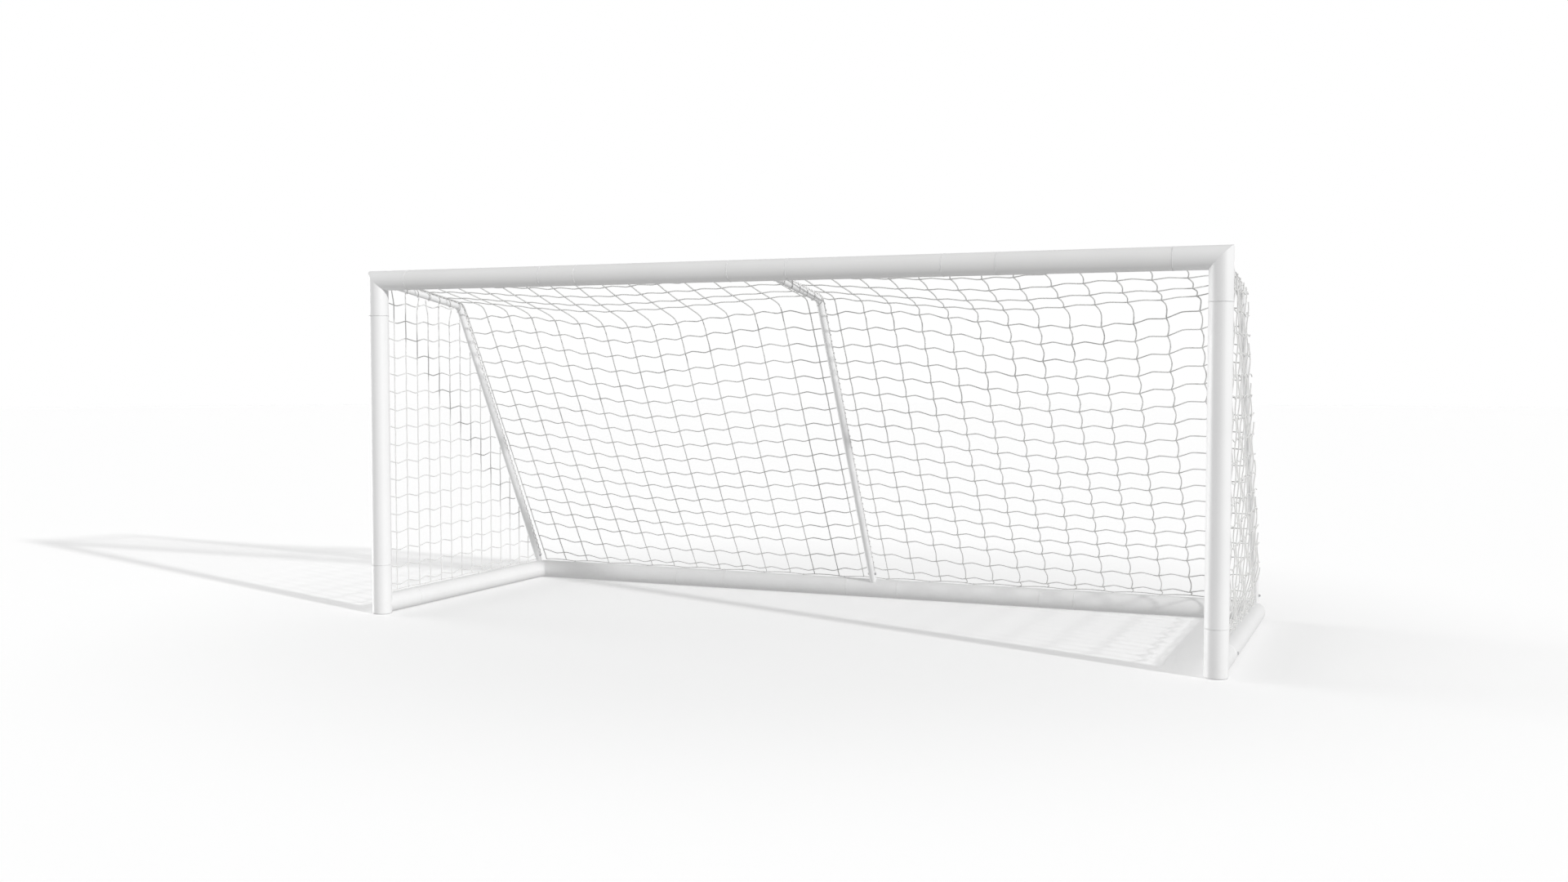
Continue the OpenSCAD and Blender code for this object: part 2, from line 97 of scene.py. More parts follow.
# Net cords
ROW_R = 0.0033
COLUMN_R = 0.0039
BORDER_R = 0.0028
KNIT_SWELL = 0.12                       # extra thickness where two cords are knitted together
KNIT_LEN = 0.007
COLUMN_PITCH = 0.1778
COLUMN_START = -0.011
ROW_PITCH = 0.1109
FIRST_ROW = 0.125                       # up the slope from the rear bar's axis
BACK_ROWS = 18
ROOF_ROWS = (-0.010, 0.140, 0.335, 0.520, 0.670)   # before the knee, at a support
MID_ROOF_ROWS = (0.085, 0.235, 0.400, 0.555, 0.690)   # and where a bay hangs lowest
CELL_STEPS = 6                          # a column's points for each row
NET_END = POST_X - 0.024                # the main net reaches this far to each side
WAVE_PITCH = 0.180
WAVE_AT = 0.043
WAVE_H = 0.0085
NET_OFF = 0.0265                        # from a support's axis out to the net's cords

# ---- Small helpers ----


def unit(v):
    return v / np.linalg.norm(v, axis=-1, keepdims=True)


def distance_along(points):
    """How far along a cord each of its points is."""
    steps = np.linalg.norm(np.diff(points, axis=0), axis=1)
    return np.concatenate([[0], np.cumsum(steps)])


def soft_triangle(turns):
    """A triangle wave with rounded peaks: 1 at whole turns, -1 halfway between."""
    return np.arcsin(0.985 * np.cos(2 * np.pi * turns)) / math.asin(0.985)


def smooth_step(t):
    t = np.clip(t, 0, 1)
    return t * t * (3 - 2 * t)


# ---- Materials ----


class Shader:
    """A node tree being built for a Principled surface."""

    def __init__(self, name):
        self.material = bpy.data.materials.new(name)
        self.material.use_nodes = True
        self.tree = self.material.node_tree
        self.surface = self.tree.nodes["Principled BSDF"]
        self.place = self.node("ShaderNodeTexCoord").outputs["Object"]

    def node(self, kind, **settings):
        made = self.tree.nodes.new(kind)
        for key, value in settings.items():
            setattr(made, key, value)
        return made

    def link(self, source, target):
        self.tree.links.new(source, target)

    def feed(self, target, value):
        if isinstance(value, (int, float)):
            target.default_value = value
        else:
            self.link(value, target)

    def math(self, operation, *values):
        made = self.node("ShaderNodeMath", operation=operation)
        for socket, value in zip(made.inputs, values):
            self.feed(socket, value)
        return made.outputs["Value"]

    def noise(self, scale, detail=3.0, roughness=0.55, place=None):
        made = self.node("ShaderNodeTexNoise")
        made.inputs["Scale"].default_value = scale
        made.inputs["Detail"].default_value = detail
        made.inputs["Roughness"].default_value = roughness
        self.link(place or self.place, made.inputs["Vector"])
        return made.outputs["Fac"]

    def ramp(self, value, low, high, dark=0.0, light=1.0):
        made = self.node("ShaderNodeMapRange")
        made.clamp = True
        self.link(value, made.inputs["Value"])
        made.inputs["From Min"].default_value = low
        made.inputs["From Max"].default_value = high
        made.inputs["To Min"].default_value = dark
        made.inputs["To Max"].default_value = light
        return made.outputs["Result"]

    def mix(self, factor, one, two):
        made = self.node("ShaderNodeMix", data_type="RGBA")
        self.feed(made.inputs["Factor"], factor)
        for socket, colour in ((made.inputs["A"], one), (made.inputs["B"], two)):
            if isinstance(colour, tuple):
                socket.default_value = (*colour, 1)
            else:
                self.link(colour, socket)
        return made.outputs["Result"]

    def bump(self, height, distance, strength=1.0, below=None):
        made = self.node("ShaderNodeBump")
        made.inputs["Distance"].default_value = distance
        made.inputs["Strength"].default_value = strength
        self.link(height, made.inputs["Height"])
        if below is not None:
            self.link(below, made.inputs["Normal"])
        return made.outputs["Normal"]

    def finish(self, colour, roughness, normal, **fixed):
        self.link(colour, self.surface.inputs["Base Color"])
        self.feed(self.surface.inputs["Roughness"], roughness)
        self.link(normal, self.surface.inputs["Normal"])
        for key, value in fixed.items():
            self.surface.inputs[key.replace("_", " ")].default_value = value
        return self.material


def powder_coat(name, white):
    """Satin powder coat over metal: fine orange peel, faint clouding, and dust near the ground."""
    s = Shader(name)
    cloud = s.ramp(s.noise(3.5, 4), 0.35, 0.68)
    speck = s.ramp(s.noise(260, 2), 0.62, 0.74)
    height = s.node("ShaderNodeSeparateXYZ")
    s.link(s.place, height.inputs[0])
    low_down = s.ramp(height.outputs["Z"], 0.0, 0.14, 1.0, 0.0)
    dust = s.math("MULTIPLY", low_down, s.ramp(s.noise(38, 5, 0.65), 0.42, 0.75, 0.0, 0.22))
    shade = tuple(c * 0.975 for c in white)
    colour = s.mix(cloud, white, shade)
    colour = s.mix(s.math("MULTIPLY", speck, 0.12), colour, tuple(c * 0.80 for c in white))
    colour = s.mix(dust, colour, (0.70, 0.68, 0.65))
    rough = s.ramp(s.noise(11, 3), 0.3, 0.7, 0.36, 0.46)
    peel = s.bump(s.noise(420, 2, 0.5), 0.00012, 0.35)
    wavy = s.bump(s.noise(38, 2, 0.5), 0.0004, 0.10, peel)
    return s.finish(colour, rough, wavy, Specular_IOR_Level=0.4)


def bare_metal(name, tint, brush):
    """Plated or bare fastener metal with fine turning marks and dull spots."""
    s = Shader(name)
    stretched = s.node("ShaderNodeMapping")
    stretched.inputs["Scale"].default_value = brush
    s.link(s.place, stretched.inputs["Vector"])
    marks = s.noise(900, 3, 0.6, stretched.outputs["Vector"])
    dull = s.ramp(s.noise(240, 4), 0.4, 0.7)
    colour = s.mix(dull, tint, tuple(c * 0.78 for c in tint))
    rough = s.math("ADD", s.ramp(marks, 0.3, 0.7, 0.24, 0.36), s.math("MULTIPLY", dull, 0.12))
    return s.finish(colour, rough, s.bump(marks, 0.00005, 0.5), Metallic=1.0)


def moulded_plastic(name, tint, grain):
    """Matte moulded plastic with a fine spark-eroded grain."""
    s = Shader(name)
    colour = s.mix(s.ramp(s.noise(45, 4), 0.35, 0.7), tint, tuple(c * 0.93 for c in tint))
    fine = s.noise(grain, 3, 0.6)
    rough = s.ramp(fine, 0.3, 0.7, 0.48, 0.62)
    return s.finish(colour, rough, s.bump(fine, 0.00006, 0.6), Specular_IOR_Level=0.35)


def twine(name, tint, painted_groove_shade, strands, lay):
    """Twisted cord, with painted shade in the grooves between its strands. The surface's own coordinates run
    along the cord in metres, and once round it.
    """
    s = Shader(name)
    along = s.node("ShaderNodeUVMap", uv_map="cord")
    split = s.node("ShaderNodeSeparateXYZ")
    s.link(along.outputs["UV"], split.inputs[0])
    turns = s.math("ADD", s.math("MULTIPLY", split.outputs["Y"], float(strands)),
                   s.math("MULTIPLY", split.outputs["X"], strands / lay))
    ridge = s.math("ABSOLUTE", s.math("SINE", s.math("MULTIPLY", turns, math.pi)))
    fibre = s.noise(1500, 2, 0.7)
    worn = s.ramp(s.noise(14, 4), 0.35, 0.7)
    # Painted shade: the grooves between the strands are coloured darker than the strands' tops.
    colour = s.mix(s.ramp(ridge, 0.0, 0.55), painted_groove_shade, tint)
    colour = s.mix(s.math("MULTIPLY", worn, 0.35), colour, tuple(c * 0.93 for c in tint))
    colour = s.mix(s.math("MULTIPLY", s.ramp(fibre, 0.45, 0.75), 0.3), colour, tuple(c * 0.86 for c in tint))
    height = s.math("ADD", ridge, s.math("MULTIPLY", fibre, 0.35))
    return s.finish(colour, s.ramp(fibre, 0.3, 0.7, 0.62, 0.8), s.bump(height, 0.0007, 0.8),
                    Specular_IOR_Level=0.3, Sheen_Weight=0.15, Sheen_Roughness=0.5)


def frame_finishes():
    """The materials of everything that isn't cord, by the record's slot."""
    return {
        "coated_tube": powder_coat("coated_tube_white", (0.885, 0.885, 0.885)),
        # Painted shade: the crossbar's coat is a slightly darker copy of the tubes' white coat, standing in
        # for the shade on the crossbar.
        "coated_tube_shade": powder_coat("coated_crossbar_white_painted_shade", (0.875, 0.873, 0.870)),
        "plug_plastic": moulded_plastic("plug_grey_plastic", (0.66, 0.66, 0.66), 700),
        "zinc_steel": bare_metal("zinc_plated_steel", (0.74, 0.75, 0.77), (1, 1, 6)),
        "rivet_aluminium": bare_metal("rivet_aluminium", (0.80, 0.80, 0.81), (1, 5, 1)),
        "clip_plastic": moulded_plastic("clip_white_plastic", (0.84, 0.84, 0.83), 900),
        "cup_plastic": moulded_plastic("cup_black_plastic", (0.05, 0.05, 0.052), 800),
        "button_steel": bare_metal("button_steel", (0.76, 0.77, 0.79), (6, 1, 1)),
        "spring_steel": bare_metal("spring_steel", (0.58, 0.58, 0.60), (1, 1, 1)),
    }


def dress_frame(finishes):
    """Gives each CAD node that stays its real finish."""
    for part in frame["record"]["subparts"]:
        slot = part["material_slot"]
        if slot not in finishes:
            continue
        for holder in NODES[part["node"]].material_slots:
            holder.material = finishes[slot]


# ---- Swept cords ----


def swell(points, knits):
    """How thick a cord is along its points, as a share of its plain radius: thicker near each of
    the places where another cord is knitted in, which are given as distances along it."""
    gap = np.abs(distance_along(points)[:, None] - np.asarray(knits)[None, :]).min(axis=1)
    return 1 + KNIT_SWELL * np.exp(-(gap / KNIT_LEN) ** 2)


def sweep(cords, sides):
    """Round tubes along cords, each (points, radii, reference direction). Returns corners, quads
    and surface coordinates (along in metres, round as a share of a turn)."""
    corners, quads, places = [], [], []
    start = 0
    turn = np.arange(sides) * 2 * np.pi / sides
    for points, radii, up in cords:
        points = np.asarray(points, float)
        n = len(points)
        radii = np.broadcast_to(np.asarray(radii, float), (n,)).copy()
        direction = unit(np.gradient(points, axis=0))
        up = np.broadcast_to(np.asarray(up, float), points.shape)
        normal = unit(up - (up * direction).sum(1, keepdims=True) * direction)
        side = np.cross(direction, normal)
        along = distance_along(points)
        ring = (np.cos(turn)[None, :, None] * normal[:, None, :]
                + np.sin(turn)[None, :, None] * side[:, None, :]) * radii[:, None, None]
        corners.append((points[:, None, :] + ring).reshape(-1, 3))
        first = (np.arange(n - 1)[:, None] * sides + np.arange(sides)[None, :])
        after = (np.arange(n - 1)[:, None] * sides + (np.arange(sides)[None, :] + 1) % sides)
        walls = np.stack([first, after, after + sides, first + sides], axis=-1).reshape(-1, 4)
        fan = np.array([[0, k, k + 1, k + 2] for k in range(1, sides - 2, 2)])
        ends = np.concatenate([fan[:, ::-1], (n - 1) * sides + fan])
        quads.append(np.concatenate([walls, ends]) + start)
        u0 = np.repeat(along[:-1], sides)
        u1 = np.repeat(along[1:], sides)
        v0 = np.tile(np.arange(sides) / sides, n - 1)
        v1 = v0 + 1 / sides
        wall_uv = np.stack([np.stack([u0, v0], -1), np.stack([u0, v1], -1),
                            np.stack([u1, v1], -1), np.stack([u1, v0], -1)], axis=1)
        end_uv = np.zeros((len(ends), 4, 2))
        places.append(np.concatenate([wall_uv, end_uv]))
        start += n * sides
    return np.concatenate(corners), np.concatenate(quads), np.concatenate(places)


def cord_piece(name, cords, sides, material, slot, *nodes):
    """One mesh of swept cords that rides on the frame and stands for the given CAD nodes."""
    corners, quads, places = sweep(cords, sides)
    mesh = bpy.data.meshes.new(name)
    mesh.vertices.add(len(corners))
    mesh.vertices.foreach_set("co", corners.astype(np.float32).ravel())
    mesh.loops.add(quads.size)
    mesh.loops.foreach_set("vertex_index", quads.astype(np.int32).ravel())
    mesh.polygons.add(len(quads))
    mesh.polygons.foreach_set("loop_start", (np.arange(len(quads)) * 4).astype(np.int32))
    mesh.update(calc_edges=True)
    mesh.polygons.foreach_set("use_smooth", np.ones(len(quads), bool))
    layer = mesh.uv_layers.new(name="cord")
    layer.data.foreach_set("uv", places.astype(np.float32).ravel())
    mesh.validate()
    piece = bpy.data.objects.new(name, mesh)
    bpy.context.scene.collection.objects.link(piece)
    mesh.materials.append(material)
    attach(piece, "frame")
    if nodes:
        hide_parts(*nodes)
    return piece


# ---- Seams ----


def tube_ends():
    """The middle of each seam, on its tube's axis, with the axis (0 for X, 1 for Y, 2 for Z)."""
    ends = []
    for bar, names in (("crossbar", ("outer_left", "inner_left", "inner_right", "outer_right")),
                       ("rear", ("left", "right"))):
        for name in names:
            low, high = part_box(bar + "_tube_" + name)
            y, z = (low.y + high.y) / 2, (low.z + high.z) / 2
            ends += [((low.x - SEAM_GAP / 2, y, z), 0), ((high.x + SEAM_GAP / 2, y, z), 0)]
    for side, x in (("left", -POST_X), ("right", POST_X)):
        low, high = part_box("post_" + side)
        ends += [((x, FRONT_Y, low.z - SEAM_GAP / 2), 2), ((x, FRONT_Y, high.z + SEAM_GAP / 2), 2)]
        low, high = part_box("ground_rail_" + side)
        inner = high.x + SEAM_GAP / 2 if x < 0 else low.x - SEAM_GAP / 2
        ends += [((x, low.y - SEAM_GAP / 2, BAR_Z), 1), ((inner, REAR_Y, BAR_Z), 0)]
    return ends


def seam_lips(material):
    """The thin rolled edges that catch the light on both sides of each seam between two tubes."""
    turn = np.linspace(0, 2 * np.pi, 97)
    cords = []
    for centre, axis in tube_ends():
        radial = np.zeros((len(turn), 3))
        radial[:, (axis + 1) % 3] = np.cos(turn)
        radial[:, (axis + 2) % 3] = np.sin(turn)
        for way in (-1, 1):
            shift = np.zeros(3)
            shift[axis] = way * (SEAM_GAP / 2 + LIP_R)
            ring = np.array(centre) + shift + radial * (TUBE_R + LIP_OUT - LIP_R)
            ring[:, 2] = np.maximum(ring[:, 2], LIP_R)
            cords.append((ring, LIP_R, radial))
    return cord_piece("seam_lips", cords, 10, material, "coated_tube")


# ---- The main net: roof and back ----


def support_line(back):
    """Height of a support's axis under a place on its first stretch."""
    return TOP_Z - back * math.tan(ROOF_SLOPE)


def outer_knee(off):
    """Where the lines that run this far outside a support's two stretches meet."""
    slope_r, slope_b = math.tan(ROOF_SLOPE), math.tan(BACK_SLOPE)
    roof_0 = TOP_Z + off / math.cos(ROOF_SLOPE)
    back_0 = BAR_Z + (DEPTH + off / math.sin(BACK_SLOPE)) * slope_b
    back = (back_0 - roof_0) / (slope_b - slope_r)
    return np.array([back, roof_0 - back * slope_r])


ROOF_DIR = np.array([math.cos(ROOF_SLOPE), -math.sin(ROOF_SLOPE)])
BACK_DIR = np.array([math.cos(BACK_SLOPE), -math.sin(BACK_SLOPE)])
BACK_OUT = np.array([math.sin(BACK_SLOPE), math.cos(BACK_SLOPE)])

# A bay of the net hangs below the knees: [deepest sag, shift of its knee line to the back,
# where along the bay it is deepest, how steeply it rises before and after that]
LEFT_BAY = (0.142, 0.040, 0.49, 1.15, 1.6)
RIGHT_BAY = (0.131, -0.045, 0.60, 1.15, 3.0)


def bay_sag(x):
    """For places along the crossbar: how far the knee line is below the supports' knees, how far
    it is shifted to the back, and the share of the bay's full sag."""
    x = np.asarray(x, float)
    left = x < MID_X
    low = np.where(left, -POST_X, MID_X)
    high = np.where(left, MID_X, POST_X)
    t = np.clip((x - low) / (high - low), 0, 1)

    def pick(i):
        return np.where(left, LEFT_BAY[i], RIGHT_BAY[i])
    peak = pick(2)
    rising = np.sin(np.pi / 2 * np.clip(t / peak, 0, 1) ** pick(3))
    falling = 1 - np.clip((t - peak) / (1 - peak), 0, 1) ** pick(4)
    share = np.where(t < peak, rising, falling)
    return pick(0) * share, pick(1) * share, share


def between_clips(x, start):
    """0 at a clip and 1 halfway between two."""
    return np.abs(np.sin(np.pi * (x - start) / CLIP_PITCH))


def top_edge(x):
    """The border cord behind the crossbar, in the side view."""
    back = HOOK * math.sin(CROSSBAR_CLIP_TILT) + BORDER_SLACK * between_clips(x, 0)
    return np.stack([back, TOP_Z + HOOK * math.cos(CROSSBAR_CLIP_TILT) + 0 * back], -1)


def bottom_edge(x):
    """The border cord on the rear bar."""
    lift = BORDER_SLACK * between_clips(x, CLIP_PITCH / 2)
    back = DEPTH + HOOK * math.sin(REAR_CLIP_TILT) - lift * BACK_DIR[0]
    return np.stack([back, BAR_Z + HOOK * math.cos(REAR_CLIP_TILT) - lift * BACK_DIR[1]], -1)


def knee_corner(x):
    """Where the roof's and the back's lines meet at x, in the side view."""
    sag, shift, _ = bay_sag(x)
    return outer_knee(NET_OFF) + np.stack([shift, -sag], -1)


def net_point(x, u):
    """A point of the main net at x; u is the distance from the knee corner, towards the crossbar
    for a plus sign and down the back for a minus sign. Returns points in the frame."""
    x, u = np.broadcast_arrays(np.asarray(x, float), np.asarray(u, float))
    share = bay_sag(x)[2]
    knee, top, bottom = knee_corner(x), top_edge(x), bottom_edge(x)
    up = top - knee
    down = bottom - knee
    up_len = np.linalg.norm(up, axis=-1)
    down_len = np.linalg.norm(down, axis=-1)
    rounding = 0.029 + 0.035 * share
    root = np.sqrt(u * u + rounding * rounding)
    up_u = (u + root) / 2
    down_u = (root - u) / 2
    point = knee + unit(up) * up_u[..., None] + unit(down) * down_u[..., None]
    v_roof = np.clip(u / up_len, 0, 1)
    v_back = np.clip(-u / down_len, 0, 1)
    hang = (0.009 + 0.008 * share) * np.sin(np.pi * v_roof)
    belly = 0.040 * share * np.sin(np.pi * v_back)
    point = point - hang[..., None] * np.array([0.0, 1.0]) - belly[..., None] * BACK_OUT
    return np.stack([x, FRONT_Y + point[..., 0], point[..., 1]], -1)


def edge_lengths(x):
    """How far the top and the bottom border are from the knee corner, along the net."""
    knee = knee_corner(x)
    return (np.linalg.norm(top_edge(x) - knee, axis=-1),
            np.linalg.norm(bottom_edge(x) - knee, axis=-1))


def back_row_height(k):
    """Distance of back row k (1 is the lowest) up the slope from the rear bar's axis, at a support.
    The third row and those just above it sit a little high."""
    lift = {2: 0.009, 3: 0.026, 4: 0.017, 5: 0.011, 6: 0.006, 7: 0.002}.get(k, 0)
    return FIRST_ROW + ROW_PITCH * (k - 1) + lift


def row_u(k, x):
    """Place of row k at x, without its wave: 1 to BACK_ROWS up the back, then towards the crossbar."""
    share = bay_sag(x)[2]
    if k <= BACK_ROWS:
        knee = knee_corner(x)
        foot = np.array([DEPTH, BAR_Z]) + NET_OFF * BACK_OUT
        slope_len = np.linalg.norm(knee - foot, axis=-1)
        spread = 0.07 * (k - 1) / (BACK_ROWS - 1) - 0.02
        loose = share * -0.042 + 4 * share * (1 - share) * spread
        return back_row_height(k) + loose - slope_len
    i = k - BACK_ROWS - 1
    left = 0.30 * share ** 0.5 * (1 - 0.5 * share) * (1 - i / 6)
    right = 0.10 * share ** 0.5 * smooth_step((x - 1.2) / 0.8)
    to_front = np.where(x < MID_X, left, right)
    return ROOF_ROWS[i] + (MID_ROOF_ROWS[i] - ROOF_ROWS[i]) * share + to_front


ROWS = list(range(1, BACK_ROWS + len(ROOF_ROWS) + 1))


def row_wave(x):
    """How far a row is pulled up or down, in a zigzag from column to column."""
    return WAVE_H * soft_triangle((x - WAVE_AT) / WAVE_PITCH)


def net_row(k):
    """One row cord from edge to edge."""
    x = np.linspace(-NET_END, NET_END, 361)
    points = net_point(x, row_u(k, x) + row_wave(x))
    puff = 0.002 * np.sin(2 * np.pi * (x - WAVE_AT) / WAVE_PITCH + 1.1)
    points[:, 1] += puff * BACK_OUT[0]
    points[:, 2] += puff * BACK_OUT[1]
    return points


def column_places():
    """Places of the columns along the rear bar, with one beside each side support."""
    inner = [COLUMN_START + COLUMN_PITCH * k for k in range(-13, 14)]
    return [-NET_END] + inner + [NET_END]


def column_x(x0, u, down_len):
    """A column's drift sideways on its way up from the rear bar."""
    rise = np.clip(1 + u / down_len, 0, 1)
    drift = np.interp(x0, [-2.4, -0.5, 0.3, 2.2], [-0.010, -0.006, 0.0, -0.004])
    if abs(x0) >= NET_END:
        drift = 0
    return x0 + drift * rise


def net_column(x0):
    """One column cord from the rear bar to the crossbar; rows cross it at every CELL_STEPS-th point."""
    up_len, down_len = edge_lengths(np.array(x0))
    stops = [-down_len] + [float(row_u(k, np.array(x0)) + row_wave(x0)) for k in ROWS] + [up_len]
    stops = np.array(stops)
    cell = np.linspace(0, 1, CELL_STEPS + 1)[:-1]
    u = np.concatenate([a + (b - a) * cell for a, b in zip(stops[:-1], stops[1:])] + [stops[-1:]])
    j = np.concatenate([i + cell for i in range(len(stops) - 1)] + [[len(stops) - 1]])
    bulge = 0.013 * smooth_step((x0 + 0.3) / 1.7)
    if abs(x0) >= NET_END:
        bulge = 0.0015
    x = column_x(x0, u, down_len) + bulge * np.abs(np.sin(np.pi * j)) + 0.0006 * np.sin(7.1 * j + 3 * x0)
    return net_point(x, u)


def knit_places(points, crossings, axis):
    """Distances along a cord of the points nearest to given values of one coordinate."""
    return np.interp(crossings, points[:, axis], distance_along(points))


def main_net(material):
    """The one net that makes the roof and the back, with its two border cords."""
    cords = []
    columns = column_places()
    for k in ROWS:
        points = net_row(k)
        knits = knit_places(points, columns, 0)
        cords.append((points, ROW_R * swell(points, knits), (0, BACK_OUT[0], BACK_OUT[1])))
    for x0 in columns:
        points = net_column(x0)
        knits = distance_along(points)[::CELL_STEPS]
        cords.append((points, COLUMN_R * swell(points, knits), (1, 0, 0)))
    for edge in (top_edge, bottom_edge):
        x = np.linspace(-NET_END, NET_END, 341)
        flat = edge(x)
        points = np.stack([x, FRONT_Y + flat[:, 0], flat[:, 1]], -1)
        cords.append((points, BORDER_R, (0, 0, 1)))
    return cord_piece("net_main", cords, 6, material, "net_fabric", "net_roof", "net_back")


# ---- The side nets ----

SIDE_COLUMN_START = 0.150
SIDE_COLUMN_PITCH = 0.116
SIDE_COLUMNS = 14
SIDE_ROWS = 17
SIDE_TOP_ROW = 1.922
SIDE_LOW_ROW = 0.167
SIDE_WAVE = 0.186
FREE_END = 0.015
RIGHT_OUT = 0.034        # the right side net hangs on the outside of its support
RIGHT_ROWS_PAST = 0.052  # and its rows end this much further back
TIED_UNDER = 0.024       # from a support's axis down to the ends of the columns tied to it
TIE_SPREAD = 0.022       # how far ties pull the columns' ends together
POST_CLIP_START = 0.440
POST_CLIP_PITCH = 0.205
SIDE_BORDER_SLACK = 0.006


def inner_top(back):
    """Height of the line just under a support, where a side column starts, and whether the column
    is tied to the support there."""
    knee = outer_knee(-TIED_UNDER)
    if back < knee[0] + 0.01:
        return support_line(back) - TIED_UNDER / math.cos(ROOF_SLOPE), True
    off = -(SUPPORT_R + FREE_END)
    height = BAR_Z + (DEPTH + off / math.sin(BACK_SLOPE) - back) * math.tan(BACK_SLOPE)
    return height, False


def back_end(height):
    """How far back a side row reaches at a height."""
    off = -(SUPPORT_R + FREE_END)
    back = DEPTH - (height - BAR_Z) / math.tan(BACK_SLOPE) + off / math.sin(BACK_SLOPE)
    return min(back, DEPTH - 0.05)


def side_x(side, back, z):
    """Where a side net is across the goal: over its support on the right, in line with it on the left."""
    if side < 0:
        return -POST_X + 0 * back * z
    out = RIGHT_OUT * smooth_step((z - BAR_Z - HOOK) / 0.25) * smooth_step((back - HOOK) / 0.25)
    return POST_X + out


def side_row(side, k):
    """One row cord of a side net, from the post to its free end; row 0 is the highest."""
    z0 = SIDE_TOP_ROW - (SIDE_TOP_ROW - SIDE_LOW_ROW) * k / (SIDE_ROWS - 1)
    end = back_end(z0)
    if k == 0:
        end = outer_knee(-TIED_UNDER)[0] + 0.01
    if side > 0:
        end = min(end + RIGHT_ROWS_PAST, DEPTH - 0.03)
    back = np.arange(HOOK, end, 0.014)
    z = z0 + WAVE_H * soft_triangle((back - 0.27) / SIDE_WAVE)
    x = side_x(side, back, z) + 0.003 * np.sin(2 * np.pi * back / SIDE_WAVE + 0.9 * k)
    return np.stack([x, FRONT_Y + back, z], -1)


def side_net(side, material):
    """A side net, with its border cords; side is -1 on the left and 1 on the right."""
    cords = []
    backs = [SIDE_COLUMN_START + SIDE_COLUMN_PITCH * k for k in range(SIDE_COLUMNS)]
    low = BAR_Z + HOOK
    step = (SIDE_TOP_ROW - SIDE_LOW_ROW) / (SIDE_ROWS - 1)
    for k in range(SIDE_ROWS):
        points = side_row(side, k)
        knits = knit_places(points, [FRONT_Y + b for b in backs if FRONT_Y + b < points[-1, 1]], 1)
        cords.append((points, ROW_R * swell(points, knits), (0, 0, 1)))
    for i, back in enumerate(backs):
        top, tied = inner_top(back)
        if side > 0:
            top += 0.024 if tied else 0.030
        z = np.arange(low, top, 0.016)
        z = np.append(z, top)
        j = (z - SIDE_LOW_ROW) / step
        pull = TIE_SPREAD * (i % 3 - 1) * smooth_step((z - (top - 0.11)) / 0.11) if tied else 0 * z
        loose = 0.0045 if side > 0 else 0.0008
        sway = 0.6 * loose * np.sin(np.pi * j + 0.4 * i)
        x = side_x(side, back + 0 * z, z) + loose * np.sin(np.pi * j + 1.7 * i)
        points = np.stack([x, FRONT_Y + back + sway + pull, z], -1)
        crossing = [SIDE_LOW_ROW + step * k for k in range(SIDE_ROWS)]
        knits = knit_places(points, [c for c in crossing if c < top], 2)
        cords.append((points, COLUMN_R * 0.95 * swell(points, knits), (1, 0, 0)))
    # border cords: up the post and along the rail
    z = np.arange(low, support_line(HOOK) - 0.03, 0.02)
    hooked = SIDE_BORDER_SLACK * np.abs(np.sin(np.pi * (z - POST_CLIP_START) / POST_CLIP_PITCH))
    cords.append((np.stack([side * POST_X + 0 * z, FRONT_Y + HOOK + hooked, z], -1), BORDER_R, (1, 0, 0)))
    back = np.arange(HOOK, back_end(low) + 0.02, 0.02)
    lift = SIDE_BORDER_SLACK * np.abs(np.sin(np.pi * (back - 0.440) / CLIP_PITCH))
    cords.append((np.stack([side * POST_X + 0 * back, FRONT_Y + back, low + lift], -1), BORDER_R, (1, 0, 0)))
    name = "left" if side < 0 else "right"
    return cord_piece("net_side_cords_" + name, cords, 6, material, "net_fabric", "net_side_" + name)


# ---- Lacings ----

LACING_R = 0.0030
LACING_PITCH = 0.115
LACING_STRANDS = 3
LACING_LAY = 0.018
LACING_START = 0.115                    # along the support, from the crossbar's axis
LACING_TURNS = 6.6
EDGE_CORD_R = 0.0030
EDGE_CORD_END = 2.86                    # along the support, near the rear bar
EDGE_CORD_LEAN = 0.62                   # radians from straight out, towards the net
HITCH_PITCH = 0.042                     # the lacing's tail goes once round the edge cord in this


def in_space(flat, x):
    """Side-view pairs (back, height) as places or directions with a third coordinate, x."""
    return np.stack([np.full(len(flat), x, float), flat[:, 0], flat[:, 1]], -1)


def support_axis(x, s):
    """Points on a support's axis at distances s from the crossbar's axis, with the direction that
    is straight out from it there."""
    turn = BACK_SLOPE - ROOF_SLOPE
    tangent = KNEE_R * math.tan(turn / 2)
    roof_len = math.hypot(KNEE_BACK, KNEE_DROP) - tangent
    arc = KNEE_R * turn
    angle = ROOF_SLOPE + np.clip((s - roof_len) / KNEE_R, 0, turn)
    on_roof = np.minimum(s, roof_len)
    centre = np.array([roof_len * ROOF_DIR[0] - KNEE_R * math.sin(ROOF_SLOPE),
                       TOP_Z - roof_len * math.sin(ROOF_SLOPE) - KNEE_R * math.cos(ROOF_SLOPE)])
    past = np.maximum(s - roof_len - arc, 0)
    point = np.stack([on_roof * ROOF_DIR[0], TOP_Z + on_roof * ROOF_DIR[1]], -1)
    bend = centre + KNEE_R * np.stack([np.sin(angle), np.cos(angle)], -1)
    point = np.where((s > roof_len)[..., None], bend, point) + past[..., None] * BACK_DIR
    out = np.stack([np.sin(angle), np.cos(angle)], -1)
    axis = in_space(point, x)
    axis[:, 1] += FRONT_Y
    return axis, in_space(out, 0)


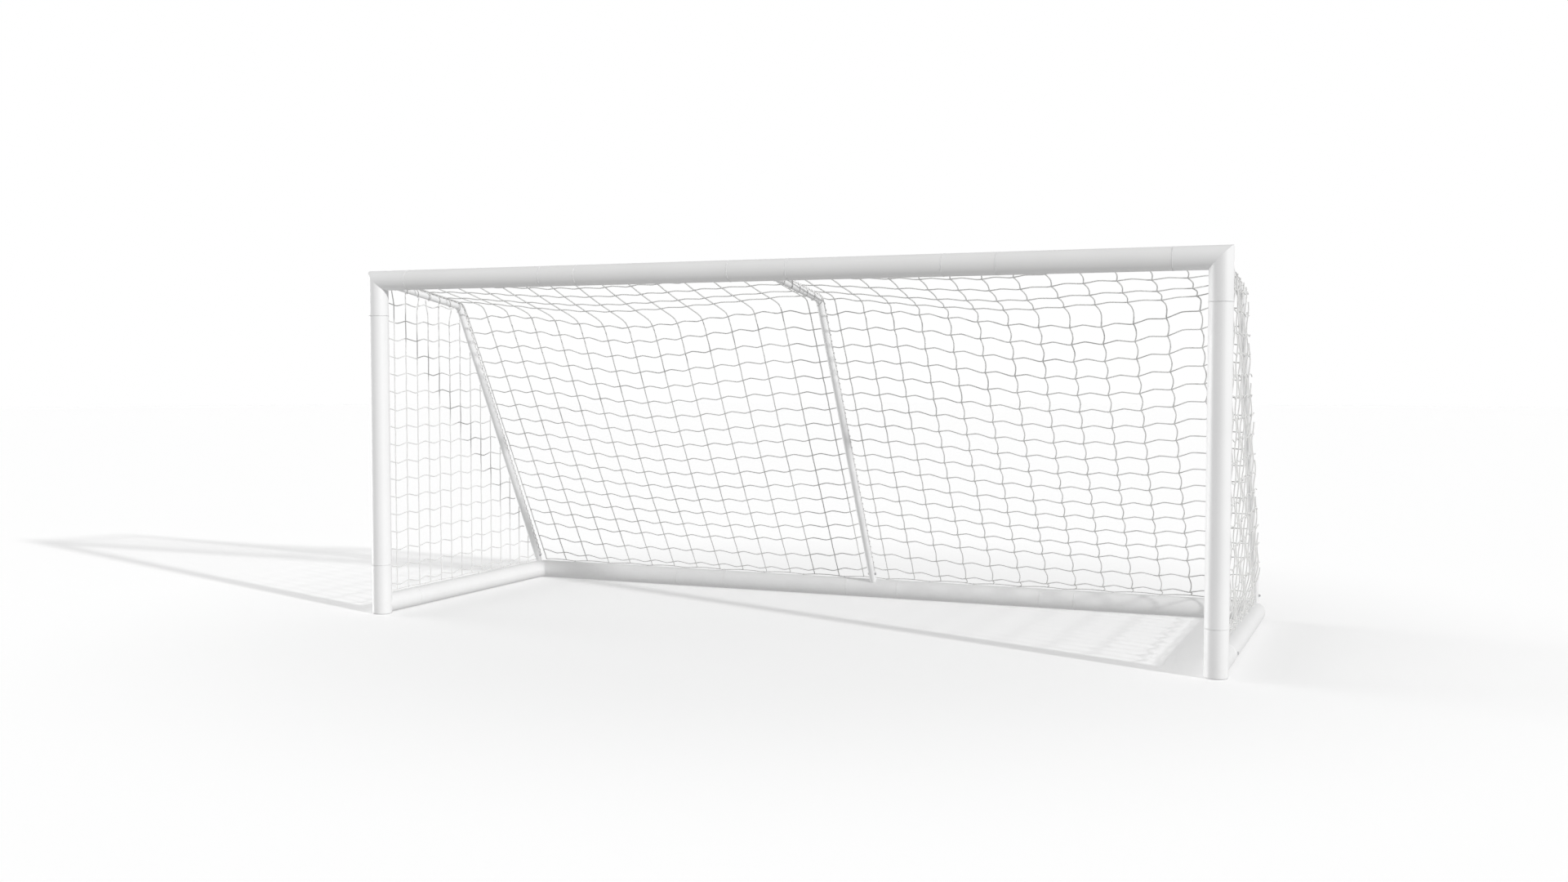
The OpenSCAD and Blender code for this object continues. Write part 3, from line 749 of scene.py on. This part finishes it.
def strand_rope(points, up, radius, strands, lay):
    """The strands of a twisted rope along closely spaced points."""
    direction = unit(np.gradient(points, axis=0))
    normal = unit(up - (up * direction).sum(1, keepdims=True) * direction)
    side = np.cross(direction, normal)
    along = distance_along(points)
    cords = []
    for k in range(strands):
        a = 2 * np.pi * (along / lay + k / strands)
        ring = np.cos(a)[:, None] * normal + np.sin(a)[:, None] * side
        cords.append((points + ring * radius * 0.52, radius * 0.56, ring))
    return cords


def lacing(i, material):
    """The cord that ties the net to support i: round it along the roof, while its tail is twisted
    with the net's edge cord down to the rear bar."""
    x0 = (-POST_X, MID_X, POST_X)[i]
    inward = (1, 1, -1)[i]
    s = np.linspace(LACING_START, LACING_START + LACING_TURNS * LACING_PITCH, int(LACING_TURNS * 46))
    axis, out = support_axis(x0, s)
    a = 2 * np.pi * (s - LACING_START) / LACING_PITCH
    across = np.array([1.0, 0.0, 0.0]) * inward
    wrap = SUPPORT_R + LACING_R + 0.0004
    radial = np.sin(a)[:, None] * across + np.cos(a)[:, None] * out
    points = axis + radial * (wrap + 0.004 * np.clip(np.cos(a - 0.6), 0, 1)[:, None] ** 4)
    cords = strand_rope(points, radial, LACING_R, LACING_STRANDS, LACING_LAY)
    # the tail, twisted round the edge cord
    s = np.linspace(LACING_START - 0.02, EDGE_CORD_END, 1400)
    axis, out = support_axis(x0, s)
    aside = math.sin(EDGE_CORD_LEAN) * across + math.cos(EDGE_CORD_LEAN) * out
    edge = axis + aside * (SUPPORT_R + 0.007)
    a = 2 * np.pi * s / HITCH_PITCH
    radial = np.cos(a)[:, None] * across + np.sin(a)[:, None] * out
    cords += strand_rope(edge + radial * 0.0042, radial, LACING_R * 0.9, LACING_STRANDS, LACING_LAY)
    cords.append((edge, EDGE_CORD_R, out))
    name = ("left", "middle", "right")[i]
    return cord_piece("lacing_cord_" + name, cords, 6, material, "lacing_fabric", "lacing_" + name)


# ---- The snap buttons' springs ----

SPRING_R = 0.0055
SPRING_WIRE_R = 0.0006
SPRING_TURNS = 4.5


def button_spring(place, material):
    """A wire spring in the place of a snap button's spring, which on the real goal gets shorter as its
    button is pressed in.
    """
    low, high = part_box("button_spring_" + place)
    t = np.linspace(0, 1, int(SPRING_TURNS * 28))
    a = 2 * np.pi * SPRING_TURNS * t
    radial = np.stack([np.cos(a), 0 * a, np.sin(a)], -1)
    middle = np.array([(low.x + high.x) / 2, 0, (low.z + high.z) / 2])
    points = middle + radial * SPRING_R
    points[:, 1] = low.y + SPRING_WIRE_R + t * (high.y - low.y - 2 * SPRING_WIRE_R)
    piece = cord_piece("spring_wire_" + place, [(points, SPRING_WIRE_R, radial)], 10, material,
                       "spring_steel", "button_spring_" + place)
    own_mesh(piece)


# ---- Stage ----

CAMERA_AT = (3.464, -8.5505, 1.518)
CAMERA_TURN = 0.4038     # radians to the left of straight at the mouth
CAMERA_DIP = 0.0475      # radians below level
SOFT_LIGHT = 0.485
FLOOR_SIZE = 60.0
FLOOR_GLOW_FROM = 1.8    # the floor's own glow grows between these distances: painted shade round the goal, and a fade of its edge into the white surround further out
FLOOR_GLOW_TO = 4.8
FLOOR_GLOW = (0.105, 0.215)


def make_camera():
    data = bpy.data.cameras.new("camera")
    data.lens = 34.77
    data.sensor_width = 36.0
    data.clip_end = 200
    camera = bpy.data.objects.new("camera", data)
    camera.location = CAMERA_AT
    camera.rotation_euler = (math.pi / 2 - CAMERA_DIP, 0, CAMERA_TURN)
    bpy.context.scene.collection.objects.link(camera)
    bpy.context.scene.camera = camera


def make_sun(name, azimuth, elevation, strength, angle):
    """A sun lamp that shines from this direction, in degrees; azimuth 0 is +X and 90 is +Y."""
    data = bpy.data.lights.new(name, "SUN")
    data.energy = strength
    data.angle = math.radians(angle)
    lamp = bpy.data.objects.new(name, data)
    lamp.rotation_euler = (math.radians(90 - elevation), 0, math.radians(azimuth + 90))
    bpy.context.scene.collection.objects.link(lamp)


def plain_glow(name, colour, glow):
    """A matte surface that also gives off a little light."""
    made = bpy.data.materials.new(name)
    made.use_nodes = True
    surface = made.node_tree.nodes["Principled BSDF"]
    surface.inputs["Base Color"].default_value = (*colour, 1)
    surface.inputs["Roughness"].default_value = 1.0
    surface.inputs["Specular IOR Level"].default_value = 0.0
    surface.inputs["Emission Color"].default_value = (1, 1, 1, 1)
    surface.inputs["Emission Strength"].default_value = glow
    return made


def floor_painted_shade_and_fade(material, near, far, low, high):
    """Painted shade on a floor: its glow is lower near its middle, round the goal, and grows with the
    distance from there, which also fades the floor into the white surround.
    """
    tree = material.node_tree
    place = tree.nodes.new("ShaderNodeTexCoord")
    length = tree.nodes.new("ShaderNodeVectorMath")
    length.operation = "LENGTH"
    fade = tree.nodes.new("ShaderNodeMapRange")
    fade.interpolation_type = "SMOOTHSTEP"
    for key, value in (("From Min", near), ("From Max", far), ("To Min", low), ("To Max", high)):
        fade.inputs[key].default_value = value
    tree.links.new(place.outputs["Object"], length.inputs[0])
    tree.links.new(length.outputs["Value"], fade.inputs["Value"])
    tree.links.new(fade.outputs["Result"], tree.nodes["Principled BSDF"].inputs["Emission Strength"])


def make_stage():
    """A white studio: a matte floor and a white surround that light nothing, an even soft light
    from all round, a key light from the right and a wide soft one from the left."""
    scene = bpy.context.scene
    scene.view_settings.view_transform = "Standard"
    world = bpy.data.worlds.new("studio")
    world.use_nodes = True
    light = world.node_tree.nodes["Background"]
    light.inputs["Color"].default_value = (1, 1, 1, 1)
    light.inputs["Strength"].default_value = SOFT_LIGHT
    scene.world = world
    make_sun("key", azimuth=-20.8, elevation=20.2, strength=2.0, angle=2.0)
    make_sun("fill", azimuth=180, elevation=5, strength=2.3, angle=36)

    size = FLOOR_SIZE
    mesh = bpy.data.meshes.new("floor")
    mesh.from_pydata([(-size, -size, 0), (size, -size, 0), (size, size, 0), (-size, size, 0)], [],
                     [(0, 1, 2, 3)])
    floor = bpy.data.objects.new("floor", mesh)
    white = plain_glow("floor_white", (0.98, 0.98, 0.98), FLOOR_GLOW[0])
    mesh.materials.append(white)
    # Painted shade on the floor round the goal, fading into the white surround further out.
    floor_painted_shade_and_fade(white, FLOOR_GLOW_FROM, FLOOR_GLOW_TO, *FLOOR_GLOW)
    rings, spokes = 16, 48
    points = [(size * 0.98 * math.cos(a) * math.cos(e), size * 0.98 * math.sin(a) * math.cos(e),
               size * 0.98 * math.sin(e))
              for e in [math.radians(-10 + 99 * r / rings) for r in range(rings + 1)]
              for a in [2 * math.pi * k / spokes for k in range(spokes)]]
    faces = [(r * spokes + k, r * spokes + (k + 1) % spokes, (r + 1) * spokes + (k + 1) % spokes,
              (r + 1) * spokes + k) for r in range(rings) for k in range(spokes)]
    faces.append(tuple(rings * spokes + k for k in range(spokes)))
    mesh = bpy.data.meshes.new("surround")
    mesh.from_pydata(points, [], faces)
    surround = bpy.data.objects.new("surround", mesh)
    mesh.materials.append(plain_glow("surround_white", (0, 0, 0), 1.0))
    for thing in (floor, surround):
        scene.collection.objects.link(thing)
        thing.visible_diffuse = False
        thing.visible_glossy = False
        thing.visible_shadow = False


def finish_frame():
    """Puts the small added pieces on the CAD frame, and its real finishes on all of it."""
    finishes = frame_finishes()
    for bar in ("crossbar", "rear"):
        for side in ("left", "middle", "right"):
            button_spring(bar + "_" + side, finishes["spring_steel"])
    seam_lips(finishes["coated_tube"])
    dress_frame(finishes)


def hang_net():
    """The net and the cords that hold it, in three kinds of twine."""
    side_twine = twine("side_net_twine", (0.84, 0.84, 0.83), (0.70, 0.70, 0.69), 3, 0.016)
    net_twine = twine("net_twine", (0.76, 0.76, 0.75), (0.62, 0.62, 0.61), 3, 0.016)
    lace_twine = twine("lacing_twine", (0.90, 0.895, 0.89), (0.80, 0.80, 0.79), 2, 0.006)
    main_net(net_twine)
    for side in (-1, 1):
        side_net(side, side_twine)
    for i in range(3):
        lacing(i, lace_twine)


make_camera()
make_stage()
finish_frame()
hang_net()
